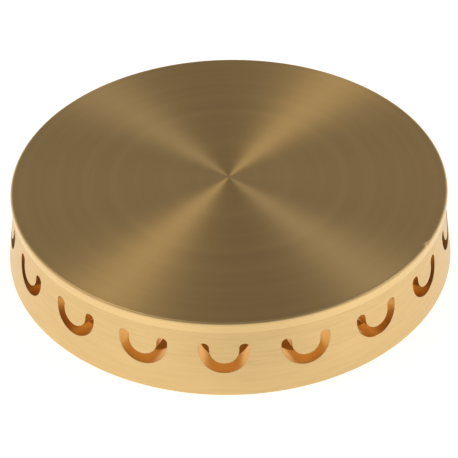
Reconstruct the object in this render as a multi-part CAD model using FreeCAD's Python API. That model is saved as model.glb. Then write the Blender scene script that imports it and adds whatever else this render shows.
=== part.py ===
import FreeCAD, Part
import math
import os

# Gas burner cap: one brass piece, turned from a solid blank, with a ring of curved flame ports
# milled through its flared wall.
# Frame: +Z up along the turning axis, origin at the centre of the flat ring on which the cap rests.

# Driving dimensions of the turned blank, in millimetres
rim_diameter = 100.0        # across the flat top, over the straight rim band
base_diameter = 104.0       # across the foot of the flared wall
height = 18.7               # from the seat to the flat top
rim_band = 2.6              # from the top face down to the foot of the straight band
rim_step = 0.5              # how far the wall is set back under the band
rim_bevel = 0.5             # broken edge between the top face and the band
top_thickness = 4.0         # plate over the gas chamber
seat_width = 4.6            # ring at the foot, from the wall's outside to the register bore
register_depth = 3.0        # bore at the foot that centres the cap on the burner body
register_shoulder = 1.4     # ledge between the register bore and the gas chamber
chamber_bevel = 2.0         # inside corner between the chamber's wall and its roof
edge_bevel = 0.3            # broken edges round the foot, outside and in the register's mouth

# Driving dimensions of the flame ports, in millimetres
port_count = 18
port_width = 2.3            # width of the milled slot
port_span = 10.9            # across the outside of a port's two legs
port_leg = 0.6              # straight part of each leg, above the bend
port_height = 9.5           # from the seat to the middle of a port, on the wall's outside
cutter_overrun = 1.0        # how far the cutter starts before the wall and runs on behind it

# Sizes worked out from the driving dimensions
rim_radius = rim_diameter / 2
base_radius = base_diameter / 2
neck_radius = rim_radius - rim_step
band_foot = height - rim_band
chamber_roof = height - top_thickness
register_radius = base_radius - seat_width
ledge_radius = register_radius - register_shoulder

# The wall is a cone from the neck under the rim band to the foot, and the chamber's wall runs parallel to it
wall_flare = (base_radius - neck_radius) / (band_foot - edge_bevel)
wall_angle = math.atan(wall_flare)
bevel_foot = chamber_roof - chamber_bevel
bevel_radius = ledge_radius - wall_flare * (bevel_foot - register_depth)
ledge_wall = base_radius - wall_flare * (register_depth - edge_bevel) - ledge_radius
wall_thickness = ledge_wall * math.cos(wall_angle)
port_face_radius = base_radius - wall_flare * (port_height - edge_bevel)


def turned_blank():
    """The cap before milling: its half section, turned once round the Z axis."""
    half_section = [
        (0, height),
        (rim_radius - rim_bevel, height),
        (rim_radius, height - rim_bevel),
        (rim_radius, band_foot),
        (neck_radius, band_foot),
        (base_radius, edge_bevel),
        (base_radius - edge_bevel, 0),
        (register_radius + edge_bevel, 0),
        (register_radius, edge_bevel),
        (register_radius, register_depth),
        (ledge_radius, register_depth),
        (bevel_radius, bevel_foot),
        (bevel_radius - chamber_bevel, chamber_roof),
        (0, chamber_roof),
        (0, height),
    ]
    outline = Part.makePolygon([FreeCAD.Vector(radius, 0, z) for radius, z in half_section])
    return Part.Face(outline).revolve(FreeCAD.Vector(0, 0, 0), FreeCAD.Vector(0, 0, 1), 360)


def port_outline():
    """U-shaped slot outline in the XY plane, open upwards, with the middle of its height at the origin."""
    outer = port_span / 2
    inner = outer - port_width
    middle = (outer + inner) / 2
    end = port_width / 2
    bend = (outer - port_leg - end) / 2
    leg_top = bend + port_leg

    def point(x, y):
        return FreeCAD.Vector(x, y, 0)

    def line(start, finish):
        return Part.LineSegment(start, finish).toShape()

    def arc(start, through, finish):
        return Part.Arc(start, through, finish).toShape()

    return Part.Wire([
        line(point(-outer, leg_top), point(-outer, bend)),
        arc(point(-outer, bend), point(0, bend - outer), point(outer, bend)),
        line(point(outer, bend), point(outer, leg_top)),
        arc(point(outer, leg_top), point(middle, leg_top + end), point(inner, leg_top)),
        line(point(inner, leg_top), point(inner, bend)),
        arc(point(inner, bend), point(0, bend - inner), point(-inner, bend)),
        line(point(-inner, bend), point(-inner, leg_top)),
        arc(point(-inner, leg_top), point(-middle, leg_top + end), point(-outer, leg_top)),
    ])


def port_cutter():
    """Prism of the port's outline that passes square through the flared wall at the front, on -Y."""
    cut_depth = wall_thickness + 2 * cutter_overrun
    cutter = Part.Face(port_outline()).extrude(FreeCAD.Vector(0, 0, -cut_depth))
    cutter.translate(FreeCAD.Vector(0, 0, cutter_overrun))
    upright = 90 - math.degrees(wall_angle)
    cutter.rotate(FreeCAD.Vector(0, 0, 0), FreeCAD.Vector(1, 0, 0), upright)
    cutter.translate(FreeCAD.Vector(0, -port_face_radius, port_height))
    return cutter


def burner_cap():
    """The turned blank with its ring of evenly spaced flame ports."""
    first_cutter = port_cutter()
    cutters = []
    for index in range(port_count):
        cutter = first_cutter.copy()
        cutter.rotate(FreeCAD.Vector(0, 0, 0), FreeCAD.Vector(0, 0, 1), index * 360 / port_count)
        cutters.append(cutter)
    return turned_blank().cut(cutters)


os.makedirs("parts", exist_ok=True)
cap = burner_cap()
cap.Solids[0].exportStep("parts/burner_cap.step")
print("burner_cap", cap.isValid(), "solids", len(cap.Solids), "volume", round(cap.Volume, 1), "box", cap.BoundBox)
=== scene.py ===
"""Gas burner cap: one turned brass cap with a ring of curved flame ports, on a white studio floor.

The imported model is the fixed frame. The cap's surface is worked out with numpy as grids of points, some
turned round the axis and some wrapped round the ports, and the grids are joined into one closed mesh.
"""
import math

import bmesh
import bpy
import numpy as np
from bpy.props import FloatProperty, FloatVectorProperty, IntProperty, PointerProperty
from mathutils import Matrix, Vector


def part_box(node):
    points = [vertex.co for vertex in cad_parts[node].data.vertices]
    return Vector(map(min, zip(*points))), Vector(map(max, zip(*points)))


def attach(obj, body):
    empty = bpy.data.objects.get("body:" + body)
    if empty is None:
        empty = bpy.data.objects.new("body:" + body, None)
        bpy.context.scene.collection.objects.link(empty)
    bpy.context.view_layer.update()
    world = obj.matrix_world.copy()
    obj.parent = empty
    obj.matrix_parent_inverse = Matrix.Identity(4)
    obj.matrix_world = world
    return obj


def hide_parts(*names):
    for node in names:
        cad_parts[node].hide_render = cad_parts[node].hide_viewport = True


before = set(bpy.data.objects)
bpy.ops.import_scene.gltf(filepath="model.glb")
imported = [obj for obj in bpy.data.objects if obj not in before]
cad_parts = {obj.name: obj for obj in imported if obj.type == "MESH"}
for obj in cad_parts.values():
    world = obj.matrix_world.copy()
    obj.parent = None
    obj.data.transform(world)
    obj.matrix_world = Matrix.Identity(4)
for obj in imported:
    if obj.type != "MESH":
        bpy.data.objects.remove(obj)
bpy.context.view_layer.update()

bl_info = {
    "name": "Gas burner cap",
    "version": (1, 0, 0),
    "blender": (4, 5, 0),
    "location": "View3D > Sidebar > Burner cap",
    "description": "Builds a turned brass burner cap with its ring of flame ports, and a studio for it",
    "category": "Add Mesh",
}

CAP_NODE = "burner_cap"
CAP_BODY = "root"

# The frame's box, taken straight after loading
CAD_LOW, CAD_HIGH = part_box(CAP_NODE)

# Finishes of the cap's faces, by material slot of the mesh
FACE, EDGE, BAND, WALL, PORT, INSIDE = range(6)


# Properties

def length(name, default, description):
    """A length in metres."""
    return FloatProperty(
        name=name, description=description, default=default, min=0, unit="LENGTH", precision=5)


def angle(name, degrees, description):
    """An angle, given in degrees."""
    return FloatProperty(name=name, description=description, default=math.radians(degrees), unit="ROTATION")


def factor(name, default, description):
    """A share from 0 to 1."""
    return FloatProperty(name=name, description=description, default=default, min=0, max=1, subtype="FACTOR")


def colour(name, default, description):
    """A linear colour."""
    return FloatVectorProperty(
        name=name, description=description, default=default, min=0, max=1, size=3, subtype="COLOR")


def brightness(name, default, description):
    """A radiance, where 1 shows as white."""
    return FloatProperty(name=name, description=description, default=default, min=0)


class BurnerCapSizes(bpy.types.PropertyGroup):
    """Sizes of the turned cap and its flame ports."""

    rim_diameter: length("Rim diameter", 0.1000, "Across the flat top, over the straight rim band")
    base_diameter: length("Base diameter", CAD_HIGH.x - CAD_LOW.x, "Across the foot of the flared wall")
    height: length("Height", CAD_HIGH.z - CAD_LOW.z, "From the seat to the flat top")
    rim_band: length("Rim band", 0.0026, "From the top face down to the foot of the straight band")
    rim_step: length("Rim step", 0.0005, "How far the wall is set back under the band")
    rim_round: length("Rim round", 0.00055, "Radius of the rounded edge between top face and band")
    top_thickness: length("Top thickness", 0.0040, "Plate over the gas chamber")
    seat_width: length("Seat width", 0.0046, "Ring at the foot, from the wall's outside to the register bore")
    register_depth: length("Register depth", 0.0030, "Bore at the foot that centres the cap")
    register_shoulder: length("Register shoulder", 0.0014, "Ledge between the register bore and the chamber")
    chamber_bevel: length("Chamber bevel", 0.0020, "Inside corner between the chamber's wall and roof")
    edge_bevel: length("Edge bevel", 0.0003, "Broken edges round the foot")
    port_count: IntProperty(name="Ports", description="Number of flame ports", default=18, min=3)
    port_width: length("Port width", 0.0023, "Width of the milled slot")
    port_span: length("Port span", 0.0109, "Across the outside of a port's two legs")
    port_leg: length("Port leg", 0.0006, "Straight part of each leg, above the bend")
    port_height: length("Port height", 0.0095, "From the seat to the middle of a port")
    port_break: length("Port edge break", 0.00006, "Broken edge round each end of a port")
    nick_angle: angle("Nick angle", 61.4, "Place of the small nick in the rim's edge, from the front")
    nick_size: length("Nick size", 0.0005, "How far the nick in the rim's edge reaches")
    nick_depth: length("Nick depth", 0.0004, "How deep the nick in the rim's edge is")


class BurnerCapFinish(bpy.types.PropertyGroup):
    """Finish of the turned and milled brass."""

    brass: colour("Brass", (0.80, 0.56, 0.255), "Clean brass")
    # The band's brass is painted lighter than the wall's: a painted reflection on the straight band
    brass_dull: colour("Dull brass", (0.70, 0.48, 0.21), "Brass in the bottoms of the turning marks")
    band_brass_painted_lighter: colour("Band brass", (0.86, 0.61, 0.28), "Brass of the straight band under the rim")
    face_roughness: factor("Face roughness", 0.62, "Roughness of the fine-turned top face")
    edge_roughness: factor("Edge roughness", 0.42, "Roughness of the rim's rounded edge")
    band_roughness: factor("Band roughness", 0.28, "Roughness of the straight band under the rim")
    wall_roughness: factor("Wall roughness", 0.36, "Roughness of the turned wall")
    port_roughness: factor("Port roughness", 0.3, "Roughness of the milled ports")
    face_turning: factor("Face turning", 0.95, "How strongly the marks on the face stretch the highlights")
    wall_turning: factor("Wall turning", 0.5, "How strongly the marks on the wall stretch the highlights")
    face_pitch: length("Face pitch", 0.00022, "Distance between turning marks on the top face")
    wall_pitch: length("Wall pitch", 0.00035, "Distance between turning marks on the wall")


class BurnerCapStudio(bpy.types.PropertyGroup):
    """Floor, light and camera."""

    floor_colour: colour("Floor", (0.88, 0.88, 0.88), "Colour of the studio floor")
    floor_glow: colour("Floor glow", (0.72, 0.72, 0.72), "The part of the floor's white that needs no lamps")
    # Inside the cap the floor's colour is painted shade with a warm painted tint of light bounced between
    # brass walls, and its glow is a warm painted glow that the brass shows in its ports
    chamber_floor_painted_shade: colour("Floor inside", (0.50, 0.30, 0.12), "Floor inside the cap, tinted by the brass")
    chamber_glow_painted: colour("Glow inside", (0.84, 0.67, 0.42), "Glow of the floor inside the cap")
    room: brightness("Room", 0.18, "Dim grey light of the room overhead")
    horizon: brightness("Horizon", 0.95, "Light of the pale walls near the floor")
    horizon_low: factor("Horizon foot", 0.02, "Sine of the elevation up to which the walls are pale")
    horizon_high: factor("Horizon head", 0.68, "Sine of the elevation from which the room is dim")
    left_box: brightness("Left soft box", 3.8, "Radiance of the soft box on the left")
    right_box: brightness("Right soft box", 1.9, "Radiance of the soft box on the right")
    # A painted shade: the floor in front of the cap glows dimmer in reflections only, so the brass walls
    # reflect it darker
    front_painted_shade: factor("Front dimming", 0.30, "How much dimmer the brass sees the floor in front of the cap")
    camera_azimuth: angle("Camera azimuth", 1.89, "Turn of the camera round the cap, from the front")
    camera_elevation: angle("Camera elevation", 38.96, "Height of the camera above the horizon")
    camera_roll: angle("Camera roll", -1.061, "Turn of the camera about its line of sight")
    camera_distance: length("Camera distance", 0.360, "From the camera to its target")
    camera_lens: FloatProperty(
        name="Lens", description="Focal length in millimetres", default=119.79, min=1, unit="CAMERA")
    target_aside: FloatProperty(
        name="Target aside", description="Target's offset to the camera's right",
        default=-0.000168, unit="LENGTH")
    target_height: length("Target height", 0.003281, "Target's height over the floor")


# Form of the cap

class CapForm:
    """Sizes that follow from the driving ones; the chamber's wall runs parallel to the outer cone."""

    def __init__(self, sizes):
        self.height = sizes.height
        self.rim_radius = sizes.rim_diameter / 2
        self.rim_round = sizes.rim_round
        self.base_radius = sizes.base_diameter / 2
        self.neck_radius = self.rim_radius - sizes.rim_step
        self.band_foot = sizes.height - sizes.rim_band
        self.edge_bevel = sizes.edge_bevel
        self.register_radius = self.base_radius - sizes.seat_width
        self.register_depth = sizes.register_depth
        self.ledge_radius = self.register_radius - sizes.register_shoulder
        self.chamber_roof = sizes.height - sizes.top_thickness
        self.chamber_bevel = sizes.chamber_bevel
        self.bevel_foot = self.chamber_roof - sizes.chamber_bevel
        self.flare = (self.base_radius - self.neck_radius) / (self.band_foot - self.edge_bevel)
        self.wall_angle = math.atan(self.flare)
        self.bevel_radius = self.inner_radius(self.bevel_foot)
        self.port_count = sizes.port_count
        self.port_height = sizes.port_height
        self.port_face_radius = self.outer_radius(sizes.port_height)

    def outer_radius(self, z):
        """Radius of the wall's outside at height z: base radius - flare (z - bevel)."""
        return self.base_radius - self.flare * (z - self.edge_bevel)

    def inner_radius(self, z):
        """Radius of the chamber's wall at height z, parallel to the outside."""
        return self.ledge_radius - self.flare * (z - self.register_depth)


# Steps along half a port's outline, from the middle of the bend, and along half its sector's border:
# outer bend low and high, outer leg, leg's end outside and inside, inner leg, inner bend
OUTLINE_STEPS = (12, 12, 4, 8, 8, 3, 14)

# Where the points over a leg's inside meet the head of the sector, as shares of the inside's angle
HEAD_SHARES = (0.97, 0.88)

# Rows of the top face: shares of its radius, then distances from the rim's rounding, in rim rounds
FACE_SHARES = (0.04, 0.12, 0.3, 0.5, 0.7, 0.9)
FACE_REACHES = (3, 2, 1.4, 0.9, 0.5, 0.25)
RIM_STEPS = 6

# Rows of the walls, as shares of the way from a port's edge to its sector's border
OUTER_SHARES = (0, 0.012, 0.06, 0.2, 0.45, 0.72, 1)
INNER_SHARES = (0, 0.02, 0.2, 0.6, 1)

# Place of the nick in the rim's rounding, in rim rounds, and broken edge under the band, in port breaks
NICK_PLACE = 0.3
BAND_BREAK = 1.5


def arc(centre, radius, start, end, steps):
    """Points on a circle, centre + radius (cos a, sin a), with a from start towards end in degrees."""
    turn = np.radians(np.linspace(start, end, steps, endpoint=False))
    return np.stack([centre[0] + radius * np.cos(turn), centre[1] + radius * np.sin(turn)], axis=-1)


def line(start, end, steps):
    """Points on a straight line, (1 - s) start + s end, with s from 0 towards 1."""
    share = np.linspace(0, 1, steps, endpoint=False)[:, None]
    return (1 - share) * np.array(start) + share * np.array(end)


def both_halves(right, last):
    """A closed outline: its right half, then the last point and the mirrored right half on the way back."""
    way_back = np.concatenate([right[1:], [last]])[::-1] * (-1, 1)
    return np.concatenate([right, way_back])


def port_outline(sizes, grow=0.0):
    """U-shaped outline of a port, open upwards, grown on all sides, its middle at the origin.

    Both bends are half circles about one centre, the legs are straight, and each leg ends in a half circle.
    """
    outer = sizes.port_span / 2
    end = sizes.port_width / 2
    middle = outer - end
    bend = (outer - sizes.port_leg - end) / 2
    leg_top = bend + sizes.port_leg
    inner = outer - sizes.port_width - grow
    outer = outer + grow
    low, high, leg, end_out, end_in, leg_in, bend_in = OUTLINE_STEPS
    right = np.concatenate([
        arc((0, bend), outer, -90, -45, low),
        arc((0, bend), outer, -45, 0, high),
        line((outer, bend), (outer, leg_top), leg),
        arc((middle, leg_top), end + grow, 0, 90, end_out),
        arc((middle, leg_top), end + grow, 90, 180, end_in),
        line((inner, leg_top), (inner, bend), leg_in),
        arc((0, bend), inner, 0, -90, bend_in),
    ])
    return both_halves(right, (0, bend - inner))


def sector_border(sizes, form, foot, head):
    """Border of a port's sector as (angle, height), in step with the outline: foot, right, head, left.

    The head's points stand over the outline's, drawn in a little above the legs' insides, so that the lines
    from outline to border never cross.
    """
    side = math.pi / form.port_count
    middle = (sizes.port_span - sizes.port_width) / 2 / form.port_face_radius
    inside = (sizes.port_span / 2 - sizes.port_width) / form.port_face_radius
    upper, lower = (share * inside for share in HEAD_SHARES)
    knots = [(0, foot), (side, foot), (side, (foot + 2 * head) / 3), (side, head),
             (middle, head), (upper, head), (lower, head), (0, head)]
    right = np.concatenate([line(a, b, steps) for a, b, steps in zip(knots[:-1], knots[1:], OUTLINE_STEPS)])
    return both_halves(right, knots[-1])


def border_angles(form, border, height):
    """All angles at which the borders of the ring of sectors meet the given height, once round, in order."""
    own = np.unique(np.round(border[np.isclose(border[:, 1], height), 0], 9))[:-1]
    starts = np.arange(form.port_count) * 2 * math.pi / form.port_count
    return (starts[:, None] + own).ravel()


def turned(profile, angles):
    """Surface of revolution: the profile's point (r, z) at angle a is (r sin a, -r cos a, z), front on -Y."""
    radius, z = np.array(profile).T[:, :, None]
    return np.stack(np.broadcast_arrays(radius * np.sin(angles), -radius * np.cos(angles), z), axis=-1)[None]


def ring_of_ports(form, points):
    """A grid of points at the front port, copied to every port by turning it about Z in equal steps."""
    turn = (np.arange(form.port_count) * 2 * math.pi / form.port_count)[:, None, None]
    x, y, z = np.moveaxis(points, -1, 0)
    turned_x = np.cos(turn) * x - np.sin(turn) * y
    turned_y = np.sin(turn) * x + np.cos(turn) * y
    return np.stack(np.broadcast_arrays(turned_x, turned_y, z), axis=-1)


def through_wall(form, outline, radius_at, lift=0.0):
    """The front port's outline pushed along the port's axis onto a cone, and lifted off it along that axis.

    With (x, y) the outline's point in the plane that touches the wall, the point at s along the axis is
    centre + x right + y up + s out. It lies on the cone where x^2 + (a - s cos w)^2 = (b - s tan w sin w)^2,
    with w the wall's angle, and the root nearest the outside is taken.
    """
    cos_w, sin_w = math.cos(form.wall_angle), math.sin(form.wall_angle)
    x, y = outline.T
    a = y * sin_w - form.port_face_radius
    z = form.port_height + y * cos_w
    b = radius_at(z)
    slope = form.flare * sin_w
    square, linear, constant = cos_w**2 - slope**2, 2 * (b * slope - a * cos_w), x**2 + a**2 - b**2
    s = (np.sqrt(linear**2 - 4 * square * constant) - linear) / (2 * square) + lift
    return np.stack([x, a - s * cos_w, z + s * sin_w], axis=-1)


def wall_grid(sizes, form, radius_at, foot, head, shares):
    """A wall round the front port: (angle, height) goes straight from the port's edge to the sector's border,
    by the given shares of the way, and the radius follows the wall's cone."""
    edge = through_wall(form, port_outline(sizes, sizes.port_break), radius_at)
    start = np.stack([np.arctan2(edge[:, 0], -edge[:, 1]), edge[:, 2]], axis=-1)
    border = sector_border(sizes, form, foot, head)
    turn, z = np.moveaxis(start + np.array(shares)[:, None, None] * (border - start), -1, 0)
    radius = radius_at(z)
    return ring_of_ports(form, np.stack([radius * np.sin(turn), -radius * np.cos(turn), z], axis=-1))


def slot_grid(sizes, form):
    """The port's own faces: broken edge outside, straight slot along the port's axis, broken edge inside."""
    plain, grown = port_outline(sizes), port_outline(sizes, sizes.port_break)
    rows = [
        through_wall(form, grown, form.outer_radius),
        through_wall(form, plain, form.outer_radius, -sizes.port_break),
        through_wall(form, plain, form.inner_radius, sizes.port_break),
        through_wall(form, grown, form.inner_radius),
    ]
    return ring_of_ports(form, np.stack(rows))


def nicked(sizes, form, points):
    """Points pushed in round the nick: by depth times exp(-d^2 / 2 size^2), down and towards the axis."""
    radius = form.rim_radius - form.rim_round * NICK_PLACE
    out = np.array([math.sin(sizes.nick_angle), -math.cos(sizes.nick_angle), 0])
    centre = radius * out + np.array([0, 0, form.height - form.rim_round * NICK_PLACE])
    distance = np.linalg.norm(points - centre, axis=-1, keepdims=True)
    push = sizes.nick_depth * np.exp(-(distance / sizes.nick_size)**2 / 2)
    return points - push * (out + np.array([0, 0, 1])) / math.sqrt(2)


def cap_grids(sizes, form):
    """All grids of the cap with their finishes; each is a stack of closed rows of points."""
    outer_border = sector_border(sizes, form, form.edge_bevel, form.band_foot)
    head_angles = border_angles(form, outer_border, form.band_foot)
    foot_angles = border_angles(form, outer_border, form.edge_bevel)
    rim_centre = (form.rim_radius - form.rim_round, form.height - form.rim_round)
    margin = form.rim_round / 4
    band_break = sizes.port_break * BAND_BREAK
    face = [(0, form.height)]
    face += [(share * rim_centre[0], form.height) for share in FACE_SHARES]
    face += [(rim_centre[0] - reach * form.rim_round, form.height) for reach in FACE_REACHES]
    rim = arc(rim_centre, form.rim_round, 90, 0, RIM_STEPS)
    rim = np.concatenate([rim, [(form.rim_radius, rim_centre[1])]])
    band = [
        (form.rim_radius, rim_centre[1] - margin),
        (form.rim_radius, form.band_foot + margin),
        (form.rim_radius, form.band_foot + band_break),
        (form.rim_radius - band_break, form.band_foot),
        (form.neck_radius, form.band_foot),
    ]
    foot = [
        (form.base_radius, form.edge_bevel),
        (form.base_radius - form.edge_bevel, 0),
        (form.register_radius + form.edge_bevel, 0),
        (form.register_radius, form.edge_bevel),
        (form.register_radius, form.register_depth),
        (form.ledge_radius, form.register_depth),
    ]
    roof = [
        (form.bevel_radius, form.bevel_foot),
        (form.bevel_radius - form.chamber_bevel, form.chamber_roof),
        (form.bevel_radius / 2, form.chamber_roof),
        (0, form.chamber_roof),
    ]
    outside = wall_grid(sizes, form, form.outer_radius, form.edge_bevel, form.band_foot, OUTER_SHARES)
    inside = wall_grid(sizes, form, form.inner_radius, form.register_depth, form.bevel_foot, INNER_SHARES)
    return [
        (nicked(sizes, form, turned(face + list(rim[:1]), head_angles)), FACE),
        (nicked(sizes, form, turned(list(rim) + band[:1], head_angles)), EDGE),
        (nicked(sizes, form, turned(band, head_angles)), BAND),
        (outside, WALL),
        (turned(foot, foot_angles), WALL),
        (slot_grid(sizes, form), PORT),
        (inside, INSIDE),
        (turned(roof, head_angles), INSIDE),
    ]


def grid_quads(shape, first):
    """Quads of a stack of grids whose rows close on themselves: point j of row i to j + 1 and row i + 1."""
    stack, rows, columns = shape
    index = first + np.arange(stack * rows * columns).reshape(stack, rows, columns)
    beside = np.roll(index, -1, axis=2)
    return np.stack([index[:, :-1], index[:, 1:], beside[:, 1:], beside[:, :-1]], axis=-1).reshape(-1, 4)


def closed_mesh(name, grids, merge, sharp_angle):
    """One closed mesh of all grids: doubles merged, faces outwards, edges sharp past the angle."""
    points, quads, finishes = [], [], []
    first = 0
    for grid, finish in grids:
        quads.append(grid_quads(grid.shape[:3], first))
        finishes.append(np.full(len(quads[-1]), finish))
        points.append(grid.reshape(-1, 3))
        first += len(points[-1])
    mesh = bpy.data.meshes.new(name)
    mesh.from_pydata(np.concatenate(points).tolist(), [], np.concatenate(quads).tolist())
    mesh.polygons.foreach_set("material_index", np.concatenate(finishes))
    edit = bmesh.new()
    edit.from_mesh(mesh)
    bmesh.ops.remove_doubles(edit, verts=edit.verts, dist=merge)
    bmesh.ops.recalc_face_normals(edit, faces=edit.faces)
    open_edges = sum(not edge.is_manifold for edge in edit.edges)
    edit.to_mesh(mesh)
    edit.free()
    if open_edges:
        raise RuntimeError(f"{name} has {open_edges} edges that don't join two faces")
    mesh.shade_smooth()
    mesh.set_sharp_from_angle(angle=sharp_angle)
    return mesh


# Materials

# Scale of the broad drift and of the streaks against the fine marks, and the streaks' length along the turning
BROAD_SCALE = 1 / 14
STREAK_SCALE = 0.7
STREAK_STRETCH = 1 / 16

# Share of the fine and the broad marks in the tone, and how far the broad marks move the roughness
FINE_TONE = 0.5
BROAD_TONE = 0.9
GLOSS_SPREAD = 0.05

# Depth of the marks in metres, and strength of the streaks
FACE_MARKS = (0.000001, 0.0)
BAND_MARKS = (0.000004, 0.6)
WALL_MARKS = (0.000006, 1.6)
PORT_MARKS = (0.000002, 1.0)
INSIDE_MARKS = (0.000004, 0.0)
NO_TURNING = 0.0


def node(tree, kind, **settings):
    """A new node with its settings."""
    made = tree.nodes.new(kind)
    for name, value in settings.items():
        setattr(made, name, value)
    return made


def maths(tree, operation, first, second):
    """A maths node; each input is a socket or a number."""
    made = node(tree, "ShaderNodeMath", operation=operation)
    for socket, value in zip(made.inputs, (first, second)):
        if isinstance(value, bpy.types.NodeSocket):
            tree.links.new(value, socket)
        else:
            socket.default_value = value
    return made.outputs[0]


def turning_marks_group():
    """Node group: marks of a turning tool, noise over (distance from the axis, height), in rings.

    Fine follows the tool's feed, Broad drifts over many turns, and Streaks are short marks along the turning,
    as noise over the place with its height stretched many times.
    """
    tree = bpy.data.node_groups.new("turning marks", "ShaderNodeTree")
    pitch = tree.interface.new_socket("Pitch", in_out="INPUT", socket_type="NodeSocketFloat")
    pitch.default_value = 0.0003
    tree.interface.new_socket("Fine", in_out="OUTPUT", socket_type="NodeSocketFloat")
    tree.interface.new_socket("Broad", in_out="OUTPUT", socket_type="NodeSocketFloat")
    tree.interface.new_socket("Streaks", in_out="OUTPUT", socket_type="NodeSocketFloat")
    given, result = node(tree, "NodeGroupInput"), node(tree, "NodeGroupOutput")
    place = node(tree, "ShaderNodeSeparateXYZ")
    tree.links.new(node(tree, "ShaderNodeTexCoord").outputs["Object"], place.inputs[0])
    x, y, z = place.outputs
    square = maths(tree, "ADD", maths(tree, "MULTIPLY", x, x), maths(tree, "MULTIPLY", y, y))
    across = maths(tree, "SQRT", square, 0)
    rings = node(tree, "ShaderNodeCombineXYZ")
    tree.links.new(across, rings.inputs[0])
    tree.links.new(z, rings.inputs[1])
    frequency = maths(tree, "DIVIDE", 1.0, given.outputs["Pitch"])
    for output, stretch in (("Fine", 1.0), ("Broad", BROAD_SCALE)):
        noise = node(tree, "ShaderNodeTexNoise", noise_dimensions="2D")
        noise.inputs["Detail"].default_value = 2.0
        tree.links.new(rings.outputs[0], noise.inputs["Vector"])
        tree.links.new(maths(tree, "MULTIPLY", frequency, stretch), noise.inputs["Scale"])
        tree.links.new(noise.outputs[0], result.inputs[output])
    short = node(tree, "ShaderNodeCombineXYZ")
    tree.links.new(maths(tree, "MULTIPLY", x, STREAK_STRETCH), short.inputs[0])
    tree.links.new(maths(tree, "MULTIPLY", y, STREAK_STRETCH), short.inputs[1])
    tree.links.new(z, short.inputs[2])
    noise = node(tree, "ShaderNodeTexNoise", noise_dimensions="3D")
    noise.inputs["Detail"].default_value = 3.0
    tree.links.new(short.outputs[0], noise.inputs["Vector"])
    tree.links.new(maths(tree, "MULTIPLY", frequency, STREAK_SCALE), noise.inputs["Scale"])
    tree.links.new(noise.outputs[0], result.inputs["Streaks"])
    return tree


def brass_material(name, clean, dull, marks, roughness, pitch, turning, mark_depth, streaking):
    """Brass whose colour, roughness and height follow the marks; its highlights stretch across them."""
    material = bpy.data.materials.new(name)
    material.use_nodes = True
    tree = material.node_tree
    shader = tree.nodes["Principled BSDF"]
    shader.inputs["Metallic"].default_value = 1.0
    shader.inputs["Anisotropic"].default_value = turning
    shader.inputs["Anisotropic Rotation"].default_value = 0.25
    if turning > 0:
        round_axis = node(tree, "ShaderNodeTangent", direction_type="RADIAL", axis="Z")
        tree.links.new(round_axis.outputs[0], shader.inputs["Tangent"])
    rings = node(tree, "ShaderNodeGroup", node_tree=marks)
    rings.inputs["Pitch"].default_value = pitch
    fine, broad, streaks = rings.outputs

    tone = node(tree, "ShaderNodeMix", data_type="RGBA")
    tone.inputs["A"].default_value = (*dull, 1)
    tone.inputs["B"].default_value = (*clean, 1)
    fine_shade = maths(tree, "MULTIPLY", fine, FINE_TONE)
    shade = maths(tree, "ADD", fine_shade, maths(tree, "MULTIPLY", broad, BROAD_TONE))
    if streaking > 0:
        streak = maths(tree, "MULTIPLY", maths(tree, "SUBTRACT", streaks, 0.5), streaking)
        shade = maths(tree, "ADD", shade, streak)
    tree.links.new(shade, tone.inputs["Factor"])
    tree.links.new(tone.outputs["Result"], shader.inputs["Base Color"])

    gloss = node(tree, "ShaderNodeMapRange")
    gloss.inputs["To Min"].default_value = roughness - GLOSS_SPREAD
    gloss.inputs["To Max"].default_value = roughness + GLOSS_SPREAD
    tree.links.new(broad, gloss.inputs["Value"])
    tree.links.new(gloss.outputs[0], shader.inputs["Roughness"])

    bump = node(tree, "ShaderNodeBump")
    bump.inputs["Strength"].default_value = 1.0
    bump.inputs["Distance"].default_value = mark_depth
    tree.links.new(fine, bump.inputs["Height"])
    tree.links.new(bump.outputs[0], shader.inputs["Normal"])
    return material


def brass_materials(finish):
    """The cap's finishes, in the order of its material slots."""
    marks = turning_marks_group()
    brass = (finish.brass, finish.brass_dull, marks)
    # The band's clean brass is painted lighter than the rest, a painted reflection; its dull brass is the
    # plain brass
    band = (finish.band_brass_painted_lighter, finish.brass, marks, finish.band_roughness)
    wall = (finish.wall_roughness, finish.wall_pitch, finish.wall_turning)
    return [
        brass_material("face_turned_brass", *brass, finish.face_roughness, finish.face_pitch,
                       finish.face_turning, *FACE_MARKS),
        brass_material("edge_turned_brass", *brass, finish.edge_roughness, finish.face_pitch,
                       NO_TURNING, *FACE_MARKS),
        brass_material("band_turned_brass", *band, finish.wall_pitch, finish.wall_turning, *BAND_MARKS),
        brass_material("wall_turned_brass", *brass, *wall, *WALL_MARKS),
        brass_material("milled_brass", *brass, finish.port_roughness, finish.wall_pitch,
                       NO_TURNING, *PORT_MARKS),
        brass_material("chamber_brass", *brass, *wall, *INSIDE_MARKS),
    ]


# Studio

# Half the floor's width; the ring under the seat where the painted shade and warm painted glow inside the cap
# end, in cap radii;
# and the place and reach of the painted shade on the floor in front of the cap, which the brass sees dimmer in
# reflections
FLOOR_REACH = 3.0
INSIDE_EDGE = (0.92, 0.99)
PAINTED_SHADE_PLACE = (0.012, -0.085, 0)
PAINTED_SHADE_REACH = (0.005, 0.05)

# Soft boxes: direction from the cap, width and depth, tint
BOX_DISTANCE = 0.6
LEFT_BOX = ((-0.515, 0.0, 0.857), 0.19, 0.19, (1, 0.93, 0.76))
RIGHT_BOX = ((0.68, 0.0, 0.73), 0.22, 0.22, (1, 1, 1))


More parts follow.
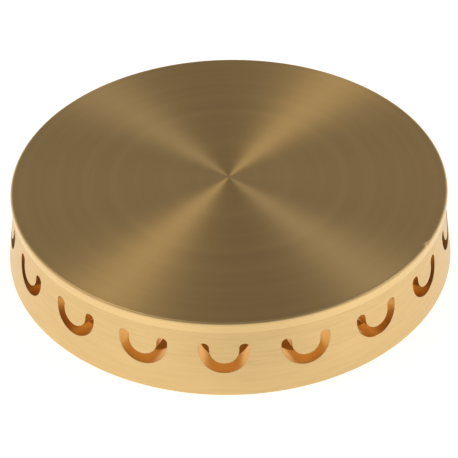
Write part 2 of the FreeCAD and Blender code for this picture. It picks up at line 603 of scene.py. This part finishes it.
def floor_object(studio, cap_radius):
    """A wide flat floor under the cap, white to the eye and to the brass, that keeps the cap's shadow.

    Inside the cap its colour and glow are painted light: a warm painted shade and glow that stand in for light
    that has bounced between brass walls. In reflections it carries a painted shade, a little dimmer in front
    of the cap.
    """
    far = FLOOR_REACH
    corners = [(-far, -far, 0), (far, -far, 0), (far, far, 0), (-far, far, 0)]
    mesh = bpy.data.meshes.new("studio_floor")
    mesh.from_pydata(corners, [], [(0, 1, 2, 3)])
    material = bpy.data.materials.new("studio_floor")
    material.use_nodes = True
    tree = material.node_tree
    shader = tree.nodes["Principled BSDF"]
    shader.inputs["Roughness"].default_value = 1.0
    shader.inputs["Specular IOR Level"].default_value = 0.0
    rays = node(tree, "ShaderNodeLightPath")
    place = node(tree, "ShaderNodeVectorMath", operation="LENGTH")
    coordinates = node(tree, "ShaderNodeTexCoord")
    tree.links.new(coordinates.outputs["Object"], place.inputs[0])
    clear = node(tree, "ShaderNodeMapRange", interpolation_type="SMOOTHSTEP")
    clear.inputs["From Min"].default_value = cap_radius * INSIDE_EDGE[0]
    clear.inputs["From Max"].default_value = cap_radius * INSIDE_EDGE[1]
    tree.links.new(place.outputs["Value"], clear.inputs["Value"])
    # Inside the cap: painted shade in the floor's colour and a warm painted glow, both standing in for light
    # bounced between brass walls
    for inside, outside, socket in (
        (studio.chamber_floor_painted_shade, studio.floor_colour, shader.inputs["Base Color"]),
        (studio.chamber_glow_painted, studio.floor_glow, shader.inputs["Emission Color"]),
    ):
        tone = node(tree, "ShaderNodeMix", data_type="RGBA")
        tone.inputs["A"].default_value = (*inside, 1)
        tone.inputs["B"].default_value = (*outside, 1)
        tree.links.new(clear.outputs[0], tone.inputs["Factor"])
        tree.links.new(tone.outputs["Result"], socket)
    # Painted shade: the glow seen in reflections is dimmer round a place on the floor in front of the cap
    shade = node(tree, "ShaderNodeVectorMath", operation="DISTANCE")
    tree.links.new(coordinates.outputs["Object"], shade.inputs[0])
    shade.inputs[1].default_value = PAINTED_SHADE_PLACE
    painted_shade_factor = node(tree, "ShaderNodeMapRange", interpolation_type="SMOOTHSTEP")
    painted_shade_factor.inputs["From Min"].default_value = PAINTED_SHADE_REACH[0]
    painted_shade_factor.inputs["From Max"].default_value = PAINTED_SHADE_REACH[1]
    painted_shade_factor.inputs["To Min"].default_value = 1 - studio.front_painted_shade
    tree.links.new(shade.outputs["Value"], painted_shade_factor.inputs["Value"])
    reflected = maths(tree, "MULTIPLY", rays.outputs["Is Glossy Ray"], painted_shade_factor.outputs[0])
    seen = maths(tree, "MULTIPLY", rays.outputs["Is Camera Ray"], clear.outputs[0])
    seen = maths(tree, "MAXIMUM", seen, reflected)
    seen = maths(tree, "MAXIMUM", seen, rays.outputs["Is Transmission Ray"])
    tree.links.new(seen, shader.inputs["Emission Strength"])
    mesh.materials.append(material)
    floor = bpy.data.objects.new("studio_floor", mesh)
    bpy.context.scene.collection.objects.link(floor)


def soft_box(name, direction, width, depth, tint, radiance):
    """A rectangular lamp that faces the cap; its power is radiance times pi times its area."""
    lamp_data = bpy.data.lights.new(name, "AREA")
    lamp_data.shape = "RECTANGLE"
    lamp_data.size, lamp_data.size_y = width, depth
    lamp_data.energy = radiance * math.pi * width * depth
    lamp_data.color = tint
    lamp = bpy.data.objects.new(name, lamp_data)
    way = Vector(direction).normalized()
    lamp.location = way * BOX_DISTANCE
    lamp.rotation_euler = way.to_track_quat("Z", "Y").to_euler()
    lamp.visible_camera = False
    bpy.context.scene.collection.objects.link(lamp)


def room_world(studio):
    """The room: dim and grey to the cap, white to the camera."""
    world = bpy.data.worlds.new("studio_room")
    world.use_nodes = True
    tree = world.node_tree
    background = tree.nodes["Background"]
    background.inputs["Color"].default_value = (1, 1, 1, 1)
    height = node(tree, "ShaderNodeSeparateXYZ")
    tree.links.new(node(tree, "ShaderNodeTexCoord").outputs["Generated"], height.inputs[0])
    tone = node(tree, "ShaderNodeMapRange", interpolation_type="SMOOTHSTEP")
    tone.inputs["From Min"].default_value = studio.horizon_low
    tone.inputs["From Max"].default_value = studio.horizon_high
    tone.inputs["To Min"].default_value = studio.horizon
    tone.inputs["To Max"].default_value = studio.room
    tree.links.new(height.outputs["Z"], tone.inputs["Value"])
    rays = node(tree, "ShaderNodeLightPath")
    strength = maths(tree, "MAXIMUM", rays.outputs["Is Camera Ray"], tone.outputs[0])
    tree.links.new(strength, background.inputs["Strength"])
    bpy.context.scene.world = world


def photo_camera(studio):
    """A camera on a sphere round its target: azimuth, elevation, then roll about its line of sight."""
    turn, rise, roll = studio.camera_azimuth, studio.camera_elevation, studio.camera_roll
    right = Vector((math.cos(turn), math.sin(turn), 0))
    back = Vector((math.cos(rise) * math.sin(turn), -math.cos(rise) * math.cos(turn), math.sin(rise)))
    up = back.cross(right)
    target = studio.target_aside * right + Vector((0, 0, studio.target_height))
    place = target + studio.camera_distance * back
    rolled_right = math.cos(roll) * right + math.sin(roll) * up
    rolled_up = math.cos(roll) * up - math.sin(roll) * right
    camera_data = bpy.data.cameras.new("photo_camera")
    camera_data.sensor_width = 36.0
    camera_data.lens = studio.camera_lens
    camera_data.clip_start = 0.01
    camera = bpy.data.objects.new("photo_camera", camera_data)
    axes = Matrix((rolled_right, rolled_up, back)).transposed().to_4x4()
    camera.matrix_world = Matrix.Translation(place) @ axes
    bpy.context.scene.collection.objects.link(camera)
    bpy.context.scene.camera = camera


# Operators

class BurnerCapTurnedCap(bpy.types.Operator):
    """Build the turned cap as one closed mesh with its brass finishes"""

    bl_idname = "burner_cap.turned_cap"
    bl_label = "Turned cap"

    def execute(self, context):
        sizes = context.scene.burner_cap_sizes
        form = CapForm(sizes)
        mesh = closed_mesh("turned_cap", cap_grids(sizes, form), merge=2e-6, sharp_angle=math.radians(25))
        for material in brass_materials(context.scene.burner_cap_finish):
            mesh.materials.append(material)
        cap = bpy.data.objects.new("turned_cap", mesh)
        context.scene.collection.objects.link(cap)
        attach(cap, CAP_BODY)
        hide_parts(CAP_NODE)
        return {"FINISHED"}


class BurnerCapStudioSetup(bpy.types.Operator):
    """Set up the floor, the room's light, the soft boxes and the camera"""

    bl_idname = "burner_cap.studio"
    bl_label = "Studio"

    def execute(self, context):
        studio = context.scene.burner_cap_studio
        context.scene.view_settings.view_transform = "Standard"
        floor_object(studio, context.scene.burner_cap_sizes.base_diameter / 2)
        room_world(studio)
        soft_box("left_soft_box", *LEFT_BOX, studio.left_box)
        soft_box("right_soft_box", *RIGHT_BOX, studio.right_box)
        photo_camera(studio)
        return {"FINISHED"}


class BurnerCapPanel(bpy.types.Panel):
    """Panel with the cap's sizes, finishes and studio"""

    bl_idname = "VIEW3D_PT_burner_cap"
    bl_label = "Burner cap"
    bl_space_type = "VIEW_3D"
    bl_region_type = "UI"
    bl_category = "Burner cap"

    def draw(self, context):
        for operator, group in (
            (BurnerCapTurnedCap, context.scene.burner_cap_sizes),
            (BurnerCapTurnedCap, context.scene.burner_cap_finish),
            (BurnerCapStudioSetup, context.scene.burner_cap_studio),
        ):
            box = self.layout.box()
            for name in group.bl_rna.properties.keys():
                if name not in ("rna_type", "name"):
                    box.prop(group, name)
            box.operator(operator.bl_idname)


CLASSES = (
    BurnerCapSizes,
    BurnerCapFinish,
    BurnerCapStudio,
    BurnerCapTurnedCap,
    BurnerCapStudioSetup,
    BurnerCapPanel,
)


def register():
    """Register the classes and hang the property groups on the scene."""
    for cls in CLASSES:
        bpy.utils.register_class(cls)
    bpy.types.Scene.burner_cap_sizes = PointerProperty(type=BurnerCapSizes)
    bpy.types.Scene.burner_cap_finish = PointerProperty(type=BurnerCapFinish)
    bpy.types.Scene.burner_cap_studio = PointerProperty(type=BurnerCapStudio)


def unregister():
    """Take the property groups off the scene and unregister the classes."""
    del bpy.types.Scene.burner_cap_sizes
    del bpy.types.Scene.burner_cap_finish
    del bpy.types.Scene.burner_cap_studio
    for cls in reversed(CLASSES):
        bpy.utils.unregister_class(cls)


def main():
    """Build the cap and its studio."""
    register()
    bpy.ops.burner_cap.turned_cap()
    bpy.ops.burner_cap.studio()


if __name__ == "__main__":
    main()
